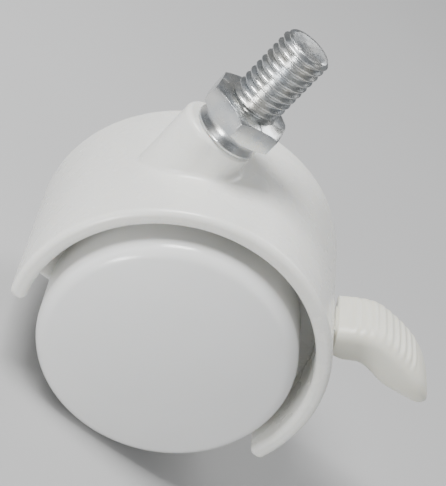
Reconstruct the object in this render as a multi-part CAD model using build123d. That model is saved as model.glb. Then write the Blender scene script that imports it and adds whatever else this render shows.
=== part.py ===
from build123d import *
import math
import os

# Hooded twin-wheel castor with a threaded stem and a rear brake lever.
# It is modelled with the axle's centre at the origin: +X is forward, +Y is left and +Z is up
# along the stem. write() then moves every piece, so that the stored origin is the stem's
# seat: the centre of the hexagon's upper face.

# ---- wheels ----
WHEEL_R = 25.0            # tread radius
WHEEL_IN_Y = 7.35         # inner face of the rim, from the middle plane
RIM_WALL = 3.0            # rim thickness at its open inner edge
RIM_DRAFT = 0.5           # how much thicker the rim is at the disc
TREAD_EDGE = 0.9          # rounding of the tread's inner edge
SHOULDER_Y = 18.0         # where the tread turns into the shoulder
SHOULDER_R = 3.5          # radius of that turn
DOME_TOP_Y = 23.9         # crown of the cap, from the middle plane
DOME_R = 101.3            # radius of the shallow crown
DISC_WALL = 2.0           # disc that joins rim and hub
DISC_OUT_Y = 18.4         # outer face of the disc
HUB_R = 6.0
WHEEL_RIBS = 6
WHEEL_RIB_WALL = 1.8
WHEEL_RIB_IN_Y = 11.8     # inner edge of the ribs, clear of the brake's cross pin
WHEEL_SIDE_GAP = 0.3      # hub end to web

# ---- wheel caps ----
CAP_R = 21.0
CAP_GAP = 0.1             # round the cap
CAP_EDGE = 1.5            # thickness at the rim of the cap
CAP_WALL = 1.6            # thickness over the axle end
SPIGOT_WALL = 1.1
LEDGE_W = 2.1             # width of the ledge that the cap rests on

# ---- axle ----
AXLE_R = 3.0
AXLE_FIT = 0.02           # axle in the web
WHEEL_FIT = 0.08          # wheel on the axle
CLIP_WALL = 0.8
CLIP_GAP = 0.2            # clip to disc
CLIP_R = 5.0
CLIP_CLEAR = 0.5          # clip's ring off the axle, between the lobes
CLIP_LOBE_W = 1.6
CLIP_GROOVE_DEPTH = 0.65
CLIP_GROOVE_PLAY = 0.05
AXLE_BEYOND_CLIP = 1.3
AXLE_CHAMFER = 0.5

# ---- hood ----
TRAIL = 16.0              # stem axis ahead of the axle
HOOD_GAP = 3.2            # tread to the inside of the hood
HOOD_WALL = 3.2
HOOD_HALF_W = 19.4
HOOD_FRONT_Z = -9.5       # lower end of the hood, front
HOOD_REAR_Z = -8.4        # and rear
HOOD_EDGE = 1.25          # rounding of the hood's edges
WEB_HALF_W = 6.9
WEB_FLOOR_Z = -10.2
BOSS_R = 6.6              # round the stem, at the rear and the sides
BOSS_FRONT = 2.2          # how far the boss runs on ahead of that
BOSS_TOP_Z = 34.7
BOSS_EDGE = 1.0
BOSS_BLEND = 1.2          # fillet where the boss meets the hood
POCKET_DEPTH = 4.4        # moulding pockets in both sides of the web
POCKET_WALL = 2.4         # ribs left round the pockets
POCKET_RIM = 5.4          # web left between the pockets and the hood
POCKET_LEAST = 25.0       # smallest side-view area worth a pocket

# ---- stem ----
THREAD_R = 5.0            # M10
THREAD_L = 15.5
THREAD_CHAMFER = 0.5
END_DISH_R = 3.6
END_DISH_DEPTH = 0.5
HEX_FLATS = 15.0
HEX_H = 4.5
HEX_TURN = 20.0           # degrees from +X to the first corner
COLLAR_R = 6.6
COLLAR_NECK_R = 6.0       # above the collar's flare
COLLAR_H = 3.2
COLLAR_RIM = 0.5          # height of the collar's outer rim
COLLAR_FLARE = 0.9        # height of the flare above the rim
COLLAR_GAP = 0.2          # collar to the boss
SHANK_R = 4.0
SHANK_FIT = 0.06
SHANK_L = 28.0
SHANK_CHAMFER = 0.8
BORE_END_GAP = 1.0
RING_UP = 6.0             # snap ring, above the shank's end
RING_WALL = 1.2
RING_GROOVE_DEPTH = 0.9
RING_R = 4.75
RING_FIT = 0.1            # ring in its groove
RING_PLAY = 0.35          # ring in the boss's recess
RING_OPENING = 50.0       # degrees

# ---- brake ----
PIVOT_X, PIVOT_Z = -20.0, 9.0
PIVOT_R = 1.5
PIVOT_FIT = 0.02          # pivot pin in the web
PIVOT_INSET = 0.2         # pin ends below the web's sides
LEVER_FIT = 0.06          # lever on its pivot pin
CROSS_R = 1.25
CROSS_X, CROSS_Z = -13.4, 13.0
CROSS_REACH = 3.4         # how far the cross pin stands into each rim
CROSS_FIT = 0.02
BRAKE_TURN = 12.0         # degrees from free to locked
TONGUE_HALF_W = 3.4
TONGUE_GAP = 0.4          # round the tongue, at its sides and through its turn
EYE_WALL = 1.9
CROSS_EYE_WALL = 1.35
NECK_X, NECK_Z = -32.0, 16.0    # outer end of the neck, inside the pedal
NECK_R = 2.8
PEDAL_HALF_W = 7.2
PEDAL_ROUND = 2.2
PEDAL_SECTIONS = [        # top (x, z), bottom (x, z) and width, from beside the hood to the tip
    ((-26.3, 19.2), (-30.0, 12.4), 2 * PEDAL_HALF_W),
    ((-29.8, 21.9), (-31.9, 12.7), 2 * PEDAL_HALF_W),
    ((-33.4, 23.6), (-35.0, 14.6), 2 * PEDAL_HALF_W),
    ((-38.2, 23.5), (-38.0, 14.5), 2 * PEDAL_HALF_W),
    ((-43.0, 22.7), (-41.5, 13.9), 2 * PEDAL_HALF_W),
    ((-47.2, 21.1), (-45.4, 14.4), 2 * PEDAL_HALF_W - 0.4),
    ((-50.3, 18.9), (-48.6, 14.8), 2 * PEDAL_HALF_W - 1.6),
    ((-52.0, 17.3), (-50.5, 14.8), 2 * PEDAL_HALF_W - 4.0),
    ((-52.8, 16.5), (-51.9, 15.1), 2 * PEDAL_HALF_W - 7.6),
]
RIDGES = 8                # grip ridges across the pedal
RIDGE_START = 4.4         # first ridge, along the pedal's upper face from the hood
RIDGE_PITCH = 1.95
RIDGE_R = 0.8
RIDGE_HALF_L = 5.6
RIDGE_SINK = 0.4          # ridge centre below the pedal's upper face
TIP_RIDGE = 26.4          # one more ridge near the tip

# ---- places that follow ----
HOOD_IN_R = WHEEL_R + HOOD_GAP
HOOD_OUT_R = HOOD_IN_R + HOOD_WALL
COLLAR_BASE_Z = BOSS_TOP_Z + COLLAR_GAP
HEX_BASE_Z = COLLAR_BASE_Z + COLLAR_H
SEAT_Z = HEX_BASE_Z + HEX_H
STEM_END_Z = SEAT_Z + THREAD_L
SHANK_END_Z = COLLAR_BASE_Z - SHANK_L
RING_Z = SHANK_END_Z + RING_UP
DISC_IN_Y = DISC_OUT_Y - DISC_WALL
CLIP_IN_Y = DISC_OUT_Y + CLIP_GAP
AXLE_END_Y = CLIP_IN_Y + CLIP_WALL + AXLE_BEYOND_CLIP
CROSS_HALF_L = WHEEL_IN_Y + CROSS_REACH
BIG = 200.0               # longer than anything here
MERGE = 0.4               # how far parts of one moulding run into each other


def crown_y(r):
    """Height of the wheel's shallow crown at radius r."""
    return DOME_TOP_Y - (DOME_R - math.sqrt(DOME_R**2 - r**2))


def turned(points, axis=Axis.Y):
    """Revolve a closed outline of (radius, height) points about Y or Z."""
    plane = Plane.XY if axis == Axis.Y else Plane.XZ
    return revolve(plane * make_face(Polyline(*points, close=True)), axis)


def slab(sketch, half_w):
    """A side-view outline (x, z) made 2 * half_w thick about the middle plane."""
    return extrude(Plane.XZ * sketch, amount=half_w, both=True)


def cross_rod(x, z, r, half_l):
    """A rod along Y through (x, z)."""
    return slab(Pos(x, z) * Circle(r), half_l)


def upright(r, low, high, x=TRAIL):
    """A cylinder about the stem's axis between two heights."""
    return Pos(x, 0, (low + high) / 2) * Cylinder(r, high - low)


# ---- stem ----

def threaded_stem():
    core = turned([(0, SHANK_END_Z), (SHANK_R - SHANK_CHAMFER, SHANK_END_Z),
                   (SHANK_R, SHANK_END_Z + SHANK_CHAMFER), (SHANK_R, COLLAR_BASE_Z),
                   (COLLAR_R, COLLAR_BASE_Z), (COLLAR_R, COLLAR_BASE_Z + COLLAR_RIM),
                   (COLLAR_NECK_R, COLLAR_BASE_Z + COLLAR_RIM + COLLAR_FLARE),
                   (COLLAR_NECK_R, HEX_BASE_Z), (THREAD_R, HEX_BASE_Z),
                   (THREAD_R, STEM_END_Z - THREAD_CHAMFER), (THREAD_R - THREAD_CHAMFER, STEM_END_Z),
                   (END_DISH_R, STEM_END_Z), (0, STEM_END_Z - END_DISH_DEPTH)], Axis.Z)
    hexagon = RegularPolygon(HEX_FLATS / 2, 6, major_radius=False, rotation=HEX_TURN)
    nut = Pos(0, 0, HEX_BASE_Z) * extrude(hexagon, HEX_H)
    corner_r = HEX_FLATS / math.sqrt(3)
    drop = (corner_r - HEX_FLATS / 2) * math.tan(math.radians(30))
    bevels = turned([(0, HEX_BASE_Z), (HEX_FLATS / 2, HEX_BASE_Z), (corner_r, HEX_BASE_Z + drop),
                     (corner_r, SEAT_Z - drop), (HEX_FLATS / 2, SEAT_Z), (0, SEAT_Z)], Axis.Z)
    groove = ring_space(SHANK_R - RING_GROOVE_DEPTH, SHANK_R + 1, RING_WALL)
    return Pos(TRAIL, 0) * (core + (nut & bevels)) - groove


def ring_space(r_in, r_out, height):
    """A flat ring about the stem's axis at the snap ring's height."""
    half = height / 2
    return upright(r_out, RING_Z - half, RING_Z + half) - upright(r_in, RING_Z - half, RING_Z + half)


def stem_snap_ring():
    ring = ring_space(SHANK_R - RING_GROOVE_DEPTH + RING_FIT, RING_R, RING_WALL - RING_FIT)
    back, half_w = -2 * RING_R, 2 * RING_R * math.tan(math.radians(RING_OPENING / 2))
    wedge = make_face(Polyline((0, 0), (back, half_w), (back, -half_w), close=True))
    return ring - Pos(TRAIL, 0, RING_Z - RING_WALL) * extrude(wedge, 2 * RING_WALL)


# ---- brake ----

def link(x1, z1, r1, x2, z2, r2):
    """Side view of a link: two eyes and the straight flanks that touch both."""
    return make_hull((Pos(x1, z1) * Circle(r1)).edges() + (Pos(x2, z2) * Circle(r2)).edges())


def about_pivot(shape, degrees):
    """Turn a side view about the lever's pivot: positive lowers the pedal."""
    return Pos(PIVOT_X, PIVOT_Z) * Rot(0, 0, degrees) * Pos(-PIVOT_X, -PIVOT_Z) * shape


def tongue_view():
    """The part of the lever inside the hood: eye, inner arm and the neck that leaves the hood."""
    eye_r = PIVOT_R + EYE_WALL
    arm = link(PIVOT_X, PIVOT_Z, eye_r, CROSS_X, CROSS_Z, CROSS_R + CROSS_EYE_WALL)
    neck = link(PIVOT_X, PIVOT_Z, eye_r, NECK_X, NECK_Z, NECK_R)
    return arm + neck


def tongue_sweep():
    """All that the tongue passes through between free and locked, with its gap."""
    grown = offset(tongue_view(), TONGUE_GAP)
    swept = grown
    steps = 4
    for i in range(1, steps + 1):
        swept += about_pivot(grown, BRAKE_TURN * i / steps)
    return swept


def pedal_section(top, bottom, width):
    """A rounded rectangle across the pedal, standing between a top and a bottom point of its side view."""
    low, high = Vector(bottom[0], 0, bottom[1]), Vector(top[0], 0, top[1])
    height = (high - low).length
    upward = (high - low).normalized()
    outward = upward.cross(Vector(0, 1, 0))
    plane = Plane((low + high) / 2, x_dir=(0, 1, 0), z_dir=outward)
    return plane * RectangleRounded(width, height, min(PEDAL_ROUND, height / 2 - 0.1, width / 2 - 0.1))


def pedal():
    """The curved pedal, ribbed across its upper face."""
    body = loft([pedal_section(*s) for s in PEDAL_SECTIONS])
    crest = Spline(*[section[0] for section in PEDAL_SECTIONS])
    for along in [RIDGE_START + i * RIDGE_PITCH for i in range(RIDGES)] + [TIP_RIDGE]:
        at = crest.position_at(along, position_mode=PositionMode.LENGTH)
        slope = crest.tangent_at(along, position_mode=PositionMode.LENGTH)
        body += cross_rod(at.X - RIDGE_SINK * slope.Y, at.Y + RIDGE_SINK * slope.X, RIDGE_R, RIDGE_HALF_L)
    return body


def brake_lever():
    lever = slab(tongue_view(), TONGUE_HALF_W) + pedal()
    lever -= cross_rod(PIVOT_X, PIVOT_Z, PIVOT_R + LEVER_FIT, BIG)
    return lever - cross_rod(CROSS_X, CROSS_Z, CROSS_R + CROSS_FIT, BIG)


def brake_pivot_pin():
    return cross_rod(PIVOT_X, PIVOT_Z, PIVOT_R, WEB_HALF_W - PIVOT_INSET)


def brake_cross_pin():
    return cross_rod(CROSS_X, CROSS_Z, CROSS_R, CROSS_HALF_L)


# ---- hood ----

def below(z, x=0):
    """The lower half of the side view under a level, to cut away; x = 1 or -1 keeps it to front or rear."""
    return Pos(x * BIG / 2, z - BIG / 2) * Rectangle(BIG if x else 2 * BIG, BIG)


def hood_shell():
    """The hood: a curved wall over both wheels, round-edged, open below and at the sides."""
    ring = Circle(HOOD_OUT_R) - Circle(HOOD_IN_R) - below(HOOD_FRONT_Z, 1) - below(HOOD_REAR_Z, -1)
    shell = slab(ring, HOOD_HALF_W)
    return fillet(shell.edges(), HOOD_EDGE)


def web_view():
    """Side view of the web, which fills the hood above its floor and runs into the hood's wall."""
    return Circle(HOOD_IN_R + MERGE) - below(WEB_FLOOR_Z)


def pocket_view():
    """Side view of the moulding pockets: the web less its rim, the stem's column, hub and lever housing."""
    room = Circle(HOOD_IN_R - POCKET_RIM) - below(WEB_FLOOR_Z + POCKET_WALL)
    room -= Pos(TRAIL, 0) * Rectangle(2 * (SHANK_R + POCKET_WALL), BIG)
    room -= Circle(HUB_R)
    room -= Pos(0, BIG / 2) * Rectangle(POCKET_WALL, BIG)
    room -= offset(tongue_sweep(), POCKET_WALL)
    return [face for face in room.faces() if face.area > POCKET_LEAST]


def hood_body():
    """The hood, boss and web, moulded as one, with bores, pockets and the slot for the lever."""
    boss = extrude(make_hull(Circle(BOSS_R).edges() + (Pos(BOSS_FRONT) * Circle(BOSS_R)).edges()), BOSS_TOP_Z)
    body = hood_shell() + (Pos(TRAIL) * boss - cross_rod(0, 0, HOOD_IN_R + MERGE, BIG))
    body = fillet([edge for edge in body.edges() if touches_boss(edge)], BOSS_BLEND)
    body = fillet(body.faces().sort_by(Axis.Z)[-1].edges(), BOSS_EDGE)
    body += slab(web_view(), WEB_HALF_W)
    body -= upright(SHANK_R + SHANK_FIT, SHANK_END_Z - BORE_END_GAP, BOSS_TOP_Z + 1)
    body -= ring_space(SHANK_R, RING_R + RING_PLAY, RING_WALL + 2 * RING_PLAY)
    body -= cross_rod(0, 0, AXLE_R + AXLE_FIT, BIG)
    body -= cross_rod(PIVOT_X, PIVOT_Z, PIVOT_R + PIVOT_FIT, WEB_HALF_W + 1)
    body -= slab(tongue_sweep(), TONGUE_HALF_W + TONGUE_GAP)
    body -= cross_pin_slot()
    for view in pocket_view():
        for side in (-1, 1):
            body -= Pos(0, side * WEB_HALF_W, 0) * slab(view, POCKET_DEPTH)
    return body


def touches_boss(edge):
    """True for an edge where the boss's side meets the hood's outer face."""
    points = [edge.position_at(t) for t in (0.1, 0.4, 0.7)]
    on_hood = all(abs(math.hypot(p.X, p.Z) - HOOD_OUT_R) < 0.01 for p in points)
    near_stem = all(abs(p.Y) < BOSS_R + 0.01 and abs(p.X - TRAIL) < BOSS_R + BOSS_FRONT + 0.01 for p in points)
    return on_hood and near_stem


def cross_pin_slot():
    """The way that the cross pin takes through the web as the lever turns."""
    views = [about_pivot(Pos(CROSS_X, CROSS_Z) * Circle(CROSS_R + TONGUE_GAP), BRAKE_TURN * i / 2) for i in range(3)]
    return slab(make_hull(views[0].edges() + views[1].edges() + views[2].edges()), WEB_HALF_W + 1)


# ---- wheels ----

def shoulder(n=6):
    """Outline points of the round shoulder, from the tread towards the crown."""
    lean = math.asin(CAP_R / DOME_R)
    turn = math.pi / 2 - lean
    return [(WHEEL_R - SHOULDER_R * (1 - math.cos(turn * i / n)), SHOULDER_Y + SHOULDER_R * math.sin(turn * i / n))
            for i in range(n + 1)]


def wheel():
    """The left wheel: a cup that opens to the web, with hub, disc and ribs."""
    lip_y = crown_y(CAP_R + CAP_GAP)
    seat_y = crown_y(CAP_R) - CAP_EDGE
    bore_r = AXLE_R + WHEEL_FIT
    start, middle, end = shoulder(2)
    ledge_r = CAP_R - LEDGE_W + CAP_GAP
    mouth_r = WHEEL_R - RIM_WALL
    outline = (
        Line((bore_r, WEB_HALF_W + WHEEL_SIDE_GAP), (bore_r, DISC_OUT_Y))
        + Line((bore_r, DISC_OUT_Y), (ledge_r, DISC_OUT_Y))
        + Line((ledge_r, DISC_OUT_Y), (ledge_r, seat_y))
        + Line((ledge_r, seat_y), (CAP_R + CAP_GAP, seat_y))
        + Line((CAP_R + CAP_GAP, seat_y), (CAP_R + CAP_GAP, lip_y))
        + Line((CAP_R + CAP_GAP, lip_y), end)
        + ThreePointArc(end, middle, start)
        + Line(start, (WHEEL_R, WHEEL_IN_Y))
        + Line((WHEEL_R, WHEEL_IN_Y), (mouth_r, WHEEL_IN_Y))
        + Line((mouth_r, WHEEL_IN_Y), (mouth_r - RIM_DRAFT, DISC_IN_Y))
        + Line((mouth_r - RIM_DRAFT, DISC_IN_Y), (HUB_R, DISC_IN_Y))
        + Line((HUB_R, DISC_IN_Y), (HUB_R, WEB_HALF_W + WHEEL_SIDE_GAP))
        + Line((HUB_R, WEB_HALF_W + WHEEL_SIDE_GAP), (bore_r, WEB_HALF_W + WHEEL_SIDE_GAP))
    )
    body = revolve(make_face(outline), Axis.Y)
    rib_start, rib_end = HUB_R - MERGE, mouth_r - RIM_DRAFT + MERGE
    rib = Pos((rib_start + rib_end) / 2, (WHEEL_RIB_IN_Y + DISC_IN_Y + MERGE) / 2) * Box(
        rib_end - rib_start, DISC_IN_Y + MERGE - WHEEL_RIB_IN_Y, WHEEL_RIB_WALL)
    for i in range(WHEEL_RIBS):
        body += Rot(0, 360 * i / WHEEL_RIBS, 0) * rib
    edges = [e for e in body.edges().filter_by(GeomType.CIRCLE)
             if abs(e.radius - WHEEL_R) < 0.01 and e.center().Y < WHEEL_IN_Y + 0.1]
    return fillet(edges, TREAD_EDGE)


def wheel_cap():
    """The left cap: a shallow dome with an edge that rests on the wheel's ledge and a snap ring behind."""
    seat_y = crown_y(CAP_R) - CAP_EDGE
    spigot_r = CAP_R - LEDGE_W
    inner_r = spigot_r - SPIGOT_WALL
    under_y = crown_y(inner_r) - CAP_WALL
    outline = (
        Line((0, DOME_TOP_Y - CAP_WALL), (0, DOME_TOP_Y))
        + ThreePointArc((0, DOME_TOP_Y), (CAP_R / 2, crown_y(CAP_R / 2)), (CAP_R, crown_y(CAP_R)))
        + Polyline((CAP_R, crown_y(CAP_R)), (CAP_R, seat_y), (spigot_r, seat_y),
                   (spigot_r, DISC_OUT_Y + CAP_GAP), (inner_r, DISC_OUT_Y + CAP_GAP), (inner_r, under_y))
        + ThreePointArc((inner_r, under_y), (inner_r / 2, crown_y(inner_r / 2) - CAP_WALL),
                        (0, DOME_TOP_Y - CAP_WALL))
    )
    return revolve(make_face(outline), Axis.Y)


# ---- axle ----

def axle_pin():
    """A round pin with a clip groove near each end."""
    rod = cross_rod(0, 0, AXLE_R, AXLE_END_Y)
    rod = chamfer(rod.edges().filter_by(GeomType.CIRCLE), AXLE_CHAMFER)
    groove = cross_rod(0, 0, AXLE_R + 1, CLIP_WALL / 2 + CLIP_GROOVE_PLAY)
    groove -= cross_rod(0, 0, AXLE_R - CLIP_GROOVE_DEPTH, CLIP_WALL)
    for side in (-1, 1):
        rod -= Pos(0, side * (CLIP_IN_Y + CLIP_WALL / 2), 0) * groove
    return rod


def axle_clip():
    """The left clip: an open ring with three inner lobes that sit in the axle's groove."""
    grip_r = AXLE_R - CLIP_GROOVE_DEPTH + CLIP_GROOVE_PLAY
    ring_r = AXLE_R + CLIP_CLEAR
    lobe_end = (ring_r + CLIP_R) / 2
    view = Circle(CLIP_R) - Circle(ring_r)
    for angle in (-150, 90, -30):
        view += Rot(0, 0, angle) * Pos(lobe_end / 2, 0) * Rectangle(lobe_end, CLIP_LOBE_W)
    view -= Circle(grip_r)
    view -= Pos(0, -CLIP_R) * Rectangle(2 * grip_r, 2 * CLIP_R)
    return Pos(0, CLIP_IN_Y + CLIP_WALL / 2, 0) * slab(view, CLIP_WALL / 2)


# ---- write every piece ----

def write(name, shape):
    """Move a piece so that the stem's seat is the origin, and write it."""
    export_step(Pos(-TRAIL, 0, -SEAT_Z) * shape, f"parts/{name}.step")


def write_pair(name, left):
    """Write a left piece and its mirror twin on the right."""
    write(f"{name}_left", left)
    write(f"{name}_right", mirror(left, Plane.XZ))


os.makedirs("parts", exist_ok=True)
write("threaded_stem", threaded_stem())
write("stem_snap_ring", stem_snap_ring())
write("hood_body", hood_body())
write("axle_pin", axle_pin())
write("brake_lever", brake_lever())
write("brake_pivot_pin", brake_pivot_pin())
write("brake_cross_pin", brake_cross_pin())
write_pair("wheel", wheel())
write_pair("wheel_cap", wheel_cap())
write_pair("axle_clip", axle_clip())
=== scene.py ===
import math

import bmesh
import bpy
from mathutils import Matrix, Vector


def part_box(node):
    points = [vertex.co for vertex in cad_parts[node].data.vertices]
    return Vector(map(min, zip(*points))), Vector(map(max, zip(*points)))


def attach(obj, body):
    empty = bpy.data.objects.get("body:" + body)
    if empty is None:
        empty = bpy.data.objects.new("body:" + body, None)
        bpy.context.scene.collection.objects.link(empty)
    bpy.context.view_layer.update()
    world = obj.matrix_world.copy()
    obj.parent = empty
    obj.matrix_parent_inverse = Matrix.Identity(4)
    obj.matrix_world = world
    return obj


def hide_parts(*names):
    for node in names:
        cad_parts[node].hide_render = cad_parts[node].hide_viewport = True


bl_info = {
    "name": "Twin-wheel castor",
    "version": (1, 0, 0),
    "blender": (4, 5, 0),
    "location": "View3D > Sidebar > Castor",
    "description": "Looks of a hooded twin-wheel stem castor, built over its CAD frame",
    "category": "Object",
}

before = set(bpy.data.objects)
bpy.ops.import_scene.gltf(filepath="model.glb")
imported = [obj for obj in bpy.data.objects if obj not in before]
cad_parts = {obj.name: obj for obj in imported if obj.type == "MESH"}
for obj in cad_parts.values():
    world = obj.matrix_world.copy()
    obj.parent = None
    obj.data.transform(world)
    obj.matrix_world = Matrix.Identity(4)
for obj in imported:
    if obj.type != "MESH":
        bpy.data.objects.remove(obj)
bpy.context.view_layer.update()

MM = 0.001
WELD = 0.002 * MM        # points closer than this are one point
FLOOR_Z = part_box("wheel_left")[0].z
STEM_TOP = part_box("threaded_stem")[1].z
STEM_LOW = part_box("threaded_stem")[0].z


# ---- sizes and colours that a user may change ----

class CastorThread(bpy.types.PropertyGroup):
    major_radius: bpy.props.FloatProperty(
        name="Major radius", description="Radius over the thread's crests", default=5.0 * MM, unit="LENGTH")
    depth: bpy.props.FloatProperty(
        name="Depth", description="Height of the thread from root to crest", default=0.75 * MM, unit="LENGTH")
    pitch: bpy.props.FloatProperty(
        name="Pitch", description="Rise of the thread in one turn", default=1.5 * MM, unit="LENGTH")
    chamfer: bpy.props.FloatProperty(
        name="Chamfer", description="Bevel at the free end", default=0.7 * MM, unit="LENGTH")
    dish: bpy.props.FloatProperty(
        name="Dish", description="Depth of the hollow in the end face", default=0.5 * MM, unit="LENGTH")
    dish_radius: bpy.props.FloatProperty(
        name="Dish radius", description="Radius of the hollow in the end face",
        default=3.6 * MM, unit="LENGTH")


class CastorColours(bpy.types.PropertyGroup):
    hood: bpy.props.FloatVectorProperty(
        name="Hood", description="Colour of the hood moulding", subtype="COLOR", default=(0.80, 0.80, 0.765))
    wheel: bpy.props.FloatVectorProperty(
        name="Wheels", description="Colour of the wheels and caps", subtype="COLOR",
        default=(0.80, 0.80, 0.78))
    lever: bpy.props.FloatVectorProperty(
        name="Lever", description="Colour of the brake lever", subtype="COLOR", default=(0.78, 0.77, 0.68))
    zinc: bpy.props.FloatVectorProperty(
        name="Zinc", description="Tint of the plated stem", subtype="COLOR", default=(0.66, 0.70, 0.74))
    steel: bpy.props.FloatVectorProperty(
        name="Steel", description="Tint of the hidden pins and rings", subtype="COLOR",
        default=(0.45, 0.46, 0.48))
    floor: bpy.props.FloatVectorProperty(
        name="Floor", description="Colour of the floor", subtype="COLOR", default=(0.50, 0.50, 0.50))


class CastorLight(bpy.types.PropertyGroup):
    key: bpy.props.FloatProperty(
        name="Key", description="Power of the key light", default=4.8, unit="POWER")
    window: bpy.props.FloatProperty(
        name="Window", description="Power of the low light that glints on the wheel",
        default=0.5, unit="POWER")
    fill: bpy.props.FloatProperty(
        name="Fill", description="Power of the fill light", default=0.7, unit="POWER")
    rim: bpy.props.FloatProperty(
        name="Rim", description="Power of the light from behind", default=2.0, unit="POWER")
    world: bpy.props.FloatProperty(
        name="Surroundings", description="Strength of the even light all round", default=0.24)


# ---- materials ----

def tree_of(material):
    """The nodes, links and shader of a material."""
    material.use_nodes = True
    nodes, links = material.node_tree.nodes, material.node_tree.links
    return nodes, links, nodes["Principled BSDF"]


def noise(nodes, links, scale, detail, stretch=(1, 1, 1)):
    """A noise texture over the object's own coordinates."""
    coords = nodes.new("ShaderNodeTexCoord")
    mapping = nodes.new("ShaderNodeMapping")
    mapping.inputs["Scale"].default_value = stretch
    texture = nodes.new("ShaderNodeTexNoise")
    texture.inputs["Scale"].default_value = scale
    texture.inputs["Detail"].default_value = detail
    links.new(coords.outputs["Object"], mapping.inputs["Vector"])
    links.new(mapping.outputs["Vector"], texture.inputs["Vector"])
    return texture.outputs["Fac"]


def ramp(nodes, links, source, low, high):
    """A noise turned into a blend of two colours."""
    node = nodes.new("ShaderNodeValToRGB")
    node.color_ramp.elements[0].position, node.color_ramp.elements[1].position = 0.3, 0.7
    node.color_ramp.elements[0].color = (*low, 1)
    node.color_ramp.elements[1].color = (*high, 1)
    links.new(source, node.inputs["Fac"])
    return node.outputs["Color"]


def spread(nodes, links, source, low, high):
    """A noise turned into a number between two limits."""
    node = nodes.new("ShaderNodeMapRange")
    node.inputs["From Min"].default_value, node.inputs["From Max"].default_value = 0.3, 0.7
    node.inputs["To Min"].default_value, node.inputs["To Max"].default_value = low, high
    links.new(source, node.inputs["Value"])
    return node.outputs["Result"]


def bump(nodes, links, source, distance, strength, normal=None):
    """Fine relief from a noise, over an earlier relief if there is one."""
    node = nodes.new("ShaderNodeBump")
    node.inputs["Distance"].default_value = distance
    node.inputs["Strength"].default_value = strength
    links.new(source, node.inputs["Height"])
    if normal:
        links.new(normal, node.inputs["Normal"])
    return node.outputs["Normal"]


def shade(colour, factor):
    """A colour made darker or lighter."""
    return tuple(min(1.0, c * factor) for c in colour)


def plastic(name, colour, low_rough, high_rough, glow, ripple):
    """Moulded plastic: a little light passes under the skin, with faint flow marks and fine grain."""
    material = bpy.data.materials.new(name)
    nodes, links, shader = tree_of(material)
    cloud = noise(nodes, links, 42, 3)
    tint = ramp(nodes, links, cloud, shade(colour, 0.965), shade(colour, 1.02))
    links.new(tint, shader.inputs["Base Color"])
    polish = spread(nodes, links, noise(nodes, links, 160, 5), low_rough, high_rough)
    links.new(polish, shader.inputs["Roughness"])
    flow = bump(nodes, links, noise(nodes, links, 55, 1), 0.3 * MM, ripple)
    grain = bump(nodes, links, noise(nodes, links, 2600, 2), 0.02 * MM, 0.25, flow)
    links.new(grain, shader.inputs["Normal"])
    shader.inputs["Subsurface Weight"].default_value = glow
    shader.inputs["Subsurface Radius"].default_value = (1.0, 0.85, 0.6)
    shader.inputs["Subsurface Scale"].default_value = 2.0 * MM
    shader.inputs["IOR"].default_value = 1.5
    return material


def metal(name, colour, low_rough, high_rough, stretch):
    """Plated or drawn steel: clouded tint, uneven polish and marks that run round or along the axis."""
    material = bpy.data.materials.new(name)
    nodes, links, shader = tree_of(material)
    shader.inputs["Metallic"].default_value = 1.0
    warm = (min(1.0, colour[0] * 1.12), colour[1] * 1.04, colour[2] * 0.93)
    cloud = noise(nodes, links, 260, 4)
    links.new(ramp(nodes, links, cloud, shade(colour, 0.86), warm), shader.inputs["Base Color"])
    polish = spread(nodes, links, noise(nodes, links, 420, 5), low_rough, high_rough)
    links.new(polish, shader.inputs["Roughness"])
    marks = bump(nodes, links, noise(nodes, links, 300, 4, stretch), 0.03 * MM, 0.5)
    pits = bump(nodes, links, noise(nodes, links, 1900, 3), 0.03 * MM, 0.35, marks)
    links.new(pits, shader.inputs["Normal"])
    return material


MADE = {}


def made(name):
    """A material by name, made once from the colours in the panel."""
    if name not in MADE:
        tint = bpy.context.scene.castor_colours
        recipes = {
            "hood": lambda: plastic("hood_plastic", tint.hood, 0.22, 0.32, 0.25, 0.06),
            "wheel": lambda: plastic("wheel_plastic", tint.wheel, 0.15, 0.24, 0.2, 0.05),
            "lever": lambda: plastic("lever_plastic", tint.lever, 0.33, 0.46, 0.35, 0.12),
            "zinc": lambda: metal("zinc_plate", tint.zinc, 0.17, 0.36, (1, 1, 6)),
            "spring": lambda: metal("spring_steel", tint.steel, 0.3, 0.45, (1, 4, 1)),
            "pin": lambda: metal("pin_steel", tint.steel, 0.25, 0.4, (1, 0.2, 1)),
        }
        MADE[name] = recipes[name]()
    return MADE[name]


# ---- geometry nodes: the thread ----

def bridge(work, rows):
    """Faces between each ring of points and the next."""
    for low, high in zip(rows, rows[1:]):
        for i in range(len(low)):
            work.faces.new((low[i - 1], low[i], high[i], high[i - 1]))


def closed_mesh(work, rows, name):
    """A mesh of its own from rings whose first and last may shrink to a point."""
    bridge(work, rows)
    bmesh.ops.remove_doubles(work, verts=work.verts, dist=WELD)
    mesh = bpy.data.meshes.new(name)
    work.to_mesh(mesh)
    work.free()
    return mesh


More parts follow.
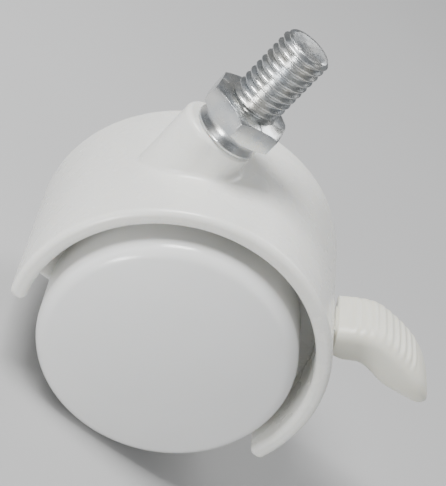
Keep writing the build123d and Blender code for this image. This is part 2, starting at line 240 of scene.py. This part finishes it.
def thread_tree(around, rows):
    """A closed threaded rod: a grid is wrapped round the axis and its radius follows a helix."""
    tree = bpy.data.node_groups.new("castor_thread", "GeometryNodeTree")
    tree.interface.new_socket("Geometry", in_out="INPUT", socket_type="NodeSocketGeometry")
    for name in ("Major radius", "Depth", "Pitch", "Length", "Chamfer", "Dish", "Dish radius"):
        tree.interface.new_socket(name, in_out="INPUT", socket_type="NodeSocketFloat")
    tree.interface.new_socket("Material", in_out="INPUT", socket_type="NodeSocketMaterial")
    tree.interface.new_socket("Geometry", in_out="OUTPUT", socket_type="NodeSocketGeometry")
    nodes, links = tree.nodes, tree.links
    given, result = nodes.new("NodeGroupInput"), nodes.new("NodeGroupOutput")

    def feed(value, socket):
        if isinstance(value, (int, float)):
            socket.default_value = value
        else:
            links.new(value, socket)

    def calc(operation, first, second=0.0, third=0.0):
        node = nodes.new("ShaderNodeMath")
        node.operation = operation
        for value, socket in zip((first, second, third), node.inputs):
            feed(value, socket)
        return node.outputs[0]

    def pick(test, if_no, if_yes):
        kept = calc("MULTIPLY", if_no, calc("SUBTRACT", 1.0, test))
        return calc("ADD", calc("MULTIPLY", if_yes, test), kept)

    grid = nodes.new("GeometryNodeMeshGrid")
    grid.inputs["Vertices X"].default_value, grid.inputs["Vertices Y"].default_value = around, rows
    apart = nodes.new("ShaderNodeSeparateXYZ")
    links.new(grid.outputs["UV Map"], apart.inputs[0])
    turn = apart.outputs["X"]
    row = calc("ROUND", calc("MULTIPLY", apart.outputs["Y"], rows - 1.0))
    along = calc("MINIMUM", calc("MAXIMUM", calc("DIVIDE", calc("SUBTRACT", row, 1.0), rows - 4.0), 0.0), 1.0)
    height = calc("MULTIPLY", along, given.outputs["Length"])
    phase = calc("FRACT", calc("SUBTRACT", calc("DIVIDE", height, given.outputs["Pitch"]), turn))
    ridge = calc("SUBTRACT", 1.0, calc("ABSOLUTE", calc("SUBTRACT", calc("MULTIPLY", phase, 2.0), 1.0)))
    crest = calc("MINIMUM", calc("MAXIMUM", calc("MULTIPLY_ADD", ridge, 1.4, -0.2), 0.0), 1.0)
    sunk = calc("MULTIPLY", given.outputs["Depth"], calc("SUBTRACT", 1.0, crest))
    side = calc("SUBTRACT", given.outputs["Major radius"], sunk)
    edge = calc("SUBTRACT", given.outputs["Major radius"], given.outputs["Chamfer"])
    bevel = calc("ADD", edge, calc("SUBTRACT", given.outputs["Length"], height))
    radius = calc("MINIMUM", side, bevel)
    radius = calc("MULTIPLY", radius, calc("GREATER_THAN", row, 0.5))
    radius = pick(calc("GREATER_THAN", row, rows - 2.5), radius, given.outputs["Dish radius"])
    radius = pick(calc("GREATER_THAN", row, rows - 1.5), radius, 0.0)
    height = calc("SUBTRACT", height, calc("MULTIPLY", given.outputs["Dish"],
                                           calc("GREATER_THAN", row, rows - 1.5)))
    angle = calc("MULTIPLY", turn, 2 * math.pi)
    place = nodes.new("ShaderNodeCombineXYZ")
    links.new(calc("MULTIPLY", radius, calc("COSINE", angle)), place.inputs[0])
    links.new(calc("MULTIPLY", radius, calc("SINE", angle)), place.inputs[1])
    links.new(height, place.inputs[2])
    wrap = nodes.new("GeometryNodeSetPosition")
    merge = nodes.new("GeometryNodeMergeByDistance")
    merge.inputs["Distance"].default_value = WELD
    real, paint = nodes.new("GeometryNodeRealizeInstances"), nodes.new("GeometryNodeSetMaterial")
    links.new(grid.outputs["Mesh"], wrap.inputs["Geometry"])
    links.new(place.outputs[0], wrap.inputs["Position"])
    links.new(wrap.outputs[0], merge.inputs["Geometry"])
    links.new(merge.outputs[0], real.inputs["Geometry"])
    links.new(real.outputs[0], paint.inputs["Geometry"])
    links.new(given.outputs["Material"], paint.inputs["Material"])
    links.new(paint.outputs[0], result.inputs["Geometry"])
    return tree


def plain_mesh(obj, name):
    """obj with its modifiers turned into a plain mesh of its own."""
    made_mesh = bpy.data.meshes.new_from_object(obj.evaluated_get(bpy.context.evaluated_depsgraph_get()))
    obj.modifiers.clear()
    obj.data = made_mesh
    made_mesh.name = name
    return obj


def link(name, data):
    """A new object in the scene that holds this data."""
    obj = bpy.data.objects.new(name, data)
    bpy.context.scene.collection.objects.link(obj)
    return obj


def tidy_normals(mesh, angle):
    """Outward normals, smooth but for edges sharper than the angle in degrees."""
    work = bmesh.new()
    work.from_mesh(mesh)
    bmesh.ops.recalc_face_normals(work, faces=work.faces)
    work.to_mesh(mesh)
    work.free()
    mesh.shade_smooth()
    mesh.set_sharp_from_angle(angle=math.radians(angle))


# ---- the stem below the thread ----

HEX_FLATS = 15.0
HEX_H = 4.5
HEX_TURN = 20.0
COLLAR = [(4.0, -7.7), (6.6, -7.7), (6.6, -7.2), (6.0, -6.3), (6.0, -4.5)]
CORE_R = 3.9
CORE_H = 14.0
SHANK_R = 4.0
SHANK_CHAMFER = 0.8
RING_GROOVE = [(4.0, -30.3), (3.1, -30.3), (3.1, -29.1), (4.0, -29.1)]


def hex_reach(degrees):
    """Distance from the stem's axis to the hexagon's side in a direction."""
    off = (degrees - HEX_TURN) % 60 - 30
    return HEX_FLATS / 2 / math.cos(math.radians(off))


def stem_rings():
    """Each ring as a function of direction that gives (radius, height) in mm, from the lower end up."""
    flat = HEX_FLATS / 2
    slope = math.tan(math.radians(30))
    low = STEM_LOW / MM
    plain = [(0.0, low), (SHANK_R - SHANK_CHAMFER, low), (SHANK_R, low + SHANK_CHAMFER),
             *RING_GROOVE, *COLLAR]
    rings = [lambda a, p=p: p for p in plain]
    rings += [
        lambda a: (flat, -HEX_H),
        lambda a: (hex_reach(a), -HEX_H + (hex_reach(a) - flat) * slope),
        lambda a: (hex_reach(a), -(hex_reach(a) - flat) * slope),
        lambda a: (flat, 0.0),
        lambda a: (CORE_R, 0.0),
        lambda a: (CORE_R, CORE_H),
        lambda a: (0.0, CORE_H),
    ]
    return rings


def stem_mesh(step=2):
    """The shank, collar and hexagon as one closed skin round the stem's axis."""
    work = bmesh.new()
    rows = []
    for ring in stem_rings():
        row = []
        for degrees in range(0, 360, step):
            radius, height = ring(degrees)
            angle = math.radians(degrees)
            point = (radius * math.cos(angle) * MM, radius * math.sin(angle) * MM, height * MM)
            row.append(work.verts.new(point))
        rows.append(row)
    return closed_mesh(work, rows, "stem_base")


class CASTOR_OT_stem(bpy.types.Operator):
    """Build the stem's shank, collar and hexagon"""
    bl_idname = "castor.stem"
    bl_label = "Stem base"

    def execute(self, context):
        mesh = stem_mesh()
        obj = link("stem_base", mesh)
        tidy_normals(mesh, 25)
        edge = obj.modifiers.new("edge", "BEVEL")
        edge.width, edge.segments, edge.limit_method = 0.12 * MM, 2, "ANGLE"
        edge.angle_limit = math.radians(35)
        plain_mesh(obj, "stem_base")
        tidy_normals(obj.data, 40)
        obj.data.materials.clear()
        obj.data.materials.append(made("zinc"))
        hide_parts("threaded_stem")
        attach(obj, "stem")
        return {"FINISHED"}


class CASTOR_OT_thread(bpy.types.Operator):
    """Build the stem's thread with geometry nodes"""
    bl_idname = "castor.thread"
    bl_label = "Thread"

    def execute(self, context):
        sizes = context.scene.castor_thread
        obj = link("stem_thread", bpy.data.meshes.new("stem_thread"))
        modifier = obj.modifiers.new("thread", "NODES")
        modifier.node_group = thread_tree(129, 220)
        values = {"Major radius": sizes.major_radius, "Depth": sizes.depth, "Pitch": sizes.pitch,
                  "Length": STEM_TOP, "Chamfer": sizes.chamfer, "Dish": sizes.dish,
                  "Dish radius": sizes.dish_radius, "Material": made("zinc")}
        for item in modifier.node_group.interface.items_tree:
            if item.in_out == "INPUT" and item.name in values:
                modifier[item.identifier] = values[item.name]
        plain_mesh(obj, "stem_thread")
        if len(obj.data.polygons) < 1000:
            raise RuntimeError("the thread came out empty")
        tidy_normals(obj.data, 50)
        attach(obj, "stem")
        return {"FINISHED"}


# ---- wheel faces ----

CROWN_Y = 23.9
CROWN_R = 101.3
CROWN_END = 21.0
SHOULDER_R = 3.5
SHOULDER_AT = (21.5, 18.0)      # centre of the shoulder's turn: radius and distance from the middle
SHOULDER_FROM, SHOULDER_TO = 78, 28
FACE_LIFT = 0.015
FACE_WALL = 0.4
AXLE_AT = (-16.0, -42.6)


def face_profile():
    """Outer and inner outline of the wheel's face in mm, from the middle to the shoulder and back."""
    outer = []
    for i in range(22):
        radius = CROWN_END * i / 21
        outer.append((radius, CROWN_Y - CROWN_R + math.sqrt(CROWN_R**2 - radius**2)))
    for degrees in range(SHOULDER_FROM, SHOULDER_TO - 1, -5):
        turn = math.radians(degrees)
        outer.append((SHOULDER_AT[0] + SHOULDER_R * math.cos(turn),
                      SHOULDER_AT[1] + SHOULDER_R * math.sin(turn)))
    inner = [(max(0.0, r - FACE_WALL * r / CROWN_END), y - FACE_WALL) for r, y in reversed(outer)]
    return [(r, y + FACE_LIFT) for r, y in outer] + inner


def face_mesh(side):
    """The face turned about the axle, to the left (side 1) or right (side -1)."""
    work = bmesh.new()
    rows = []
    for radius, y in face_profile():
        rows.append([work.verts.new(((AXLE_AT[0] + radius * math.cos(math.radians(a))) * MM, side * y * MM,
                                     (AXLE_AT[1] + radius * math.sin(math.radians(a))) * MM))
                     for a in range(0, 360, 2)])
    return closed_mesh(work, rows, "wheel_face")


class CASTOR_OT_faces(bpy.types.Operator):
    """Build the domed faces of both wheels"""
    bl_idname = "castor.faces"
    bl_label = "Wheel faces"

    def execute(self, context):
        for side, hand in ((1, "left"), (-1, "right")):
            obj = link(f"wheel_face_{hand}", face_mesh(side))
            tidy_normals(obj.data, 40)
            obj.data.materials.append(made("wheel"))
            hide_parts(f"wheel_cap_{hand}")
            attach(obj, f"{hand}_wheel")
        return {"FINISHED"}


# ---- lever ----

PEDAL = [                # top (x, z), bottom (x, z) and half width in mm, from beside the hood to the tip
    (-42.3, -23.4, -46.0, -30.2, 7.0),
    (-45.8, -20.9, -47.9, -29.9, 7.15),
    (-49.4, -19.3, -51.0, -28.0, 7.2),
    (-54.2, -19.3, -54.0, -28.1, 7.2),
    (-59.0, -20.1, -57.5, -28.7, 7.2),
    (-63.2, -21.7, -61.4, -28.2, 7.0),
    (-66.3, -23.8, -64.6, -27.8, 6.3),
    (-68.0, -25.4, -66.6, -27.8, 5.0),
    (-68.7, -26.3, -68.0, -27.4, 3.2),
    (-68.8, -26.8, -68.6, -27.1, 1.4),
]
PEDAL_STEPS = 12
PEDAL_POINTS = 56
PEDAL_POWER = 3.4        # how square the pedal's section is
GRIP_FROM, GRIP_PITCH, GRIPS = 2.6, 1.95, 9
GRIP_DEPTH = 0.42
NECK_CUT = ((-44.0, -26.9), (-0.878, 0.478))    # point (x, z) and outward direction of the tongue's cut
NECK_STUB = (0.35, 0.62)    # depth of the stub behind the pedal's root, and its share of the section


def spline(rows, at):
    """A smooth curve through rows of numbers, at a position counted in rows."""
    i = min(int(at), len(rows) - 2)
    t = at - i
    a, b, c, d = (rows[max(0, min(len(rows) - 1, k))] for k in range(i - 1, i + 3))
    return [0.5 * (2 * q + (r - p) * t + (2 * p - 5 * q + 4 * r - w) * t * t + (3 * q - p - 3 * r + w) * t**3)
            for p, q, r, w in zip(a, b, c, d)]


def pedal_ring(row, lift):
    """One section of the pedal as points in metres; lift raises its upper face."""
    tx, tz, bx, bz, half_w = row
    up = Vector((tx - bx, 0, tz - bz))
    half_h = up.length / 2
    up.normalize()
    middle = Vector(((tx + bx) / 2, 0, (tz + bz) / 2))
    ring = []
    for i in range(PEDAL_POINTS):
        angle = 2 * math.pi * i / PEDAL_POINTS
        c, s = math.cos(angle), math.sin(angle)
        across = math.copysign(abs(c) ** (2 / PEDAL_POWER), c)
        rise = math.copysign(abs(s) ** (2 / PEDAL_POWER), s)
        top = max(0.0, rise) ** 3 * max(0.0, 1 - abs(across) ** 6)
        point = middle + Vector((0, across * half_w, 0)) + up * (rise * half_h + lift * top)
        ring.append(point * MM)
    return ring


def pedal_rows():
    """Every section of the pedal, root first, with the grip's ridges along its upper face."""
    total = (len(PEDAL) - 1) * PEDAL_STEPS
    rows = [spline(PEDAL, k / PEDAL_STEPS) for k in range(total + 1)]
    rings, gone, last = [], 0.0, rows[0]
    for row in rows:
        gone += math.hypot(row[0] - last[0], row[1] - last[1])
        last = row
        turn = (gone - GRIP_FROM) / GRIP_PITCH
        lift = GRIP_DEPTH * (abs(math.sin(math.pi * turn)) - 0.6) if 0 <= turn <= GRIPS else 0.0
        rings.append(pedal_ring(row, lift))
    depth, share = NECK_STUB
    centre = sum(rings[0], Vector()) / PEDAL_POINTS
    inward = Vector((-NECK_CUT[1][0], 0, -NECK_CUT[1][1])) * depth * MM
    stub = [centre + (p - centre) * share + inward for p in rings[0]]
    return [stub, [centre + (p - centre) * share for p in rings[0]]] + rings


def add_skin(work, rings):
    """A closed skin over a row of rings."""
    rows = [[work.verts.new(p) for p in ring] for ring in rings]
    bridge(work, rows)
    work.faces.new(rows[0])
    work.faces.new(rows[-1])


def add_tongue(work):
    """The part of the lever inside the hood, cut from its CAD piece inside the pedal's root."""
    cad = bmesh.new()
    cad.from_mesh(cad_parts["brake_lever"].data)
    (x, z), (nx, nz) = NECK_CUT
    cut = bmesh.ops.bisect_plane(
        cad, geom=cad.verts[:] + cad.edges[:] + cad.faces[:], dist=1e-7,
        plane_co=Vector((x, 0, z)) * MM, plane_no=Vector((nx, 0, nz)), clear_outer=True)
    was_cut = any(isinstance(e, bmesh.types.BMEdge) for e in cut["geom_cut"])
    bmesh.ops.remove_doubles(cad, verts=cad.verts, dist=1e-7)
    bmesh.ops.holes_fill(cad, edges=[e for e in cad.edges if e.is_boundary], sides=0)
    part = bpy.data.meshes.new("tongue")
    cad.to_mesh(part)
    cad.free()
    work.from_mesh(part)
    bpy.data.meshes.remove(part)
    return was_cut


class CASTOR_OT_lever(bpy.types.Operator):
    """Build the brake lever with its ridged pedal"""
    bl_idname = "castor.lever"
    bl_label = "Brake lever"

    def execute(self, context):
        work = bmesh.new()
        if not add_tongue(work):
            raise RuntimeError("the tongue was not cut")
        add_skin(work, pedal_rows())
        mesh = bpy.data.meshes.new("lever")
        work.to_mesh(mesh)
        work.free()
        obj = link("lever", mesh)
        tidy_normals(mesh, 50)
        mesh.materials.clear()
        mesh.materials.append(made("lever"))
        for face in mesh.polygons:
            face.material_index = 0
        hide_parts("brake_lever")
        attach(obj, "lever")
        return {"FINISHED"}


class CASTOR_OT_mouldings(bpy.types.Operator):
    """Finish the hood and the wheels"""
    bl_idname = "castor.mouldings"
    bl_label = "Mouldings"

    def execute(self, context):
        for node, material, slot in (
                ("hood_body", "hood", "hood_plastic"),
                ("wheel_left", "wheel", "wheel_plastic"), ("wheel_right", "wheel", "wheel_plastic")):
            dress(node, material)
        return {"FINISHED"}


class CASTOR_OT_hardware(bpy.types.Operator):
    """Finish the axle, pins, clips and ring"""
    bl_idname = "castor.hardware"
    bl_label = "Hardware"

    def execute(self, context):
        for node, material, slot in (
                ("axle_pin", "pin", "pin_steel"), ("brake_pivot_pin", "pin", "pin_steel"),
                ("brake_cross_pin", "pin", "pin_steel"), ("stem_snap_ring", "spring", "spring_steel"),
                ("axle_clip_left", "spring", "spring_steel"), ("axle_clip_right", "spring", "spring_steel")):
            dress(node, material)
        return {"FINISHED"}


def dress(node, material):
    """Give a CAD node its material."""
    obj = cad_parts[node]
    obj.data.materials.clear()
    obj.data.materials.append(made(material))


# ---- floor, light and camera ----

CAMERA_AT = Vector((67.8, 234.7, 104.2)) * MM
CAMERA_RIGHT = Vector((-0.7682, -0.0837, 0.6347))
CAMERA_UP = Vector((0.5684, -0.5453, 0.6161))
CAMERA_BACK = Vector((0.2945, 0.8340, 0.4665))
LENS_MM = 107.2
FLOOR_HALF = 2.0
FLOOR_DROP = 0.0001              # floor below the wheels, so that the two faces don't coincide
MIDDLE = (-0.015, 0.0, -0.03)    # what the lamps face
GLINT_AT = (0.005, 0.021, -0.033)
SKY = (0.94, 0.97, 1.0, 1)


def lamp(name, at, towards, size, power, height=None):
    """A soft light at one point, facing another, both in metres; square unless it has a height."""
    data = bpy.data.lights.new(name, "AREA")
    data.shape = "RECTANGLE"
    data.energy, data.size, data.size_y = power, size, height or size
    obj = link(name, data)
    obj.location = at
    obj.rotation_euler = (Vector(towards) - Vector(at)).to_track_quat("-Z", "Y").to_euler()
    return obj


class CASTOR_OT_stage(bpy.types.Operator):
    """Set up the floor, the lights and the camera"""
    bl_idname = "castor.stage"
    bl_label = "Stage"

    def execute(self, context):
        light, tint = context.scene.castor_light, context.scene.castor_colours
        mesh = bpy.data.meshes.new("floor")
        corners = [(x * FLOOR_HALF, y * FLOOR_HALF, FLOOR_Z - FLOOR_DROP)
                   for x, y in ((-1, -1), (1, -1), (1, 1), (-1, 1))]
        mesh.from_pydata(corners, [], [(0, 1, 2, 3)])
        floor = link("floor", mesh)
        paint = bpy.data.materials.new("floor_paper")
        nodes, links, shader = tree_of(paint)
        fog = noise(nodes, links, 6, 3)
        links.new(ramp(nodes, links, fog, shade(tint.floor, 0.98), shade(tint.floor, 1.02)),
                  shader.inputs["Base Color"])
        shader.inputs["Roughness"].default_value = 0.8
        mesh.materials.append(paint)
        lamp("key", (0.30, 0.05, 0.42), MIDDLE, 0.20, light.key)
        lamp("window", (0.160, 0.275, -0.040), GLINT_AT, 0.09, light.window, 0.045)
        lamp("fill", (-0.35, 0.45, 0.30), MIDDLE, 0.4, light.fill)
        lamp("rim", (-0.25, -0.35, 0.45), MIDDLE, 0.35, light.rim)
        world = bpy.data.worlds.new("surroundings")
        world.use_nodes = True
        back = world.node_tree.nodes["Background"]
        back.inputs["Color"].default_value = SKY
        back.inputs["Strength"].default_value = light.world
        context.scene.world = world
        data = bpy.data.cameras.new("camera")
        data.lens, data.sensor_width, data.sensor_fit = LENS_MM, 36.0, "AUTO"
        data.clip_start, data.clip_end = 0.01, 20.0
        camera = link("camera", data)
        turn = Matrix((CAMERA_RIGHT, CAMERA_UP, CAMERA_BACK)).transposed().to_quaternion()
        camera.rotation_mode = "QUATERNION"
        camera.rotation_quaternion = turn
        camera.location = CAMERA_AT
        context.scene.camera = camera
        return {"FINISHED"}


# ---- panel and registration ----

STEPS = (CASTOR_OT_stem, CASTOR_OT_thread, CASTOR_OT_faces, CASTOR_OT_lever, CASTOR_OT_mouldings,
         CASTOR_OT_hardware, CASTOR_OT_stage)
SETTINGS = (("castor_thread", CastorThread), ("castor_colours", CastorColours), ("castor_light", CastorLight))


class CASTOR_PT_panel(bpy.types.Panel):
    """Sizes, colours and build steps of the castor"""
    bl_idname = "CASTOR_PT_panel"
    bl_label = "Castor"
    bl_space_type = "VIEW_3D"
    bl_region_type = "UI"
    bl_category = "Castor"

    def draw(self, context):
        for name, group in SETTINGS:
            settings = getattr(context.scene, name)
            for prop in group.__annotations__:
                self.layout.prop(settings, prop)
        for step in STEPS:
            self.layout.operator(step.bl_idname)


def register():
    for name, group in SETTINGS:
        bpy.utils.register_class(group)
        setattr(bpy.types.Scene, name, bpy.props.PointerProperty(type=group))
    for cls in (*STEPS, CASTOR_PT_panel):
        bpy.utils.register_class(cls)


def unregister():
    for cls in reversed((*STEPS, CASTOR_PT_panel)):
        bpy.utils.unregister_class(cls)
    for name, group in reversed(SETTINGS):
        delattr(bpy.types.Scene, name)
        bpy.utils.unregister_class(group)


def main():
    register()
    for step in STEPS:
        section, call = step.bl_idname.split(".")
        getattr(getattr(bpy.ops, section), call)()


if __name__ == "__main__":
    main()
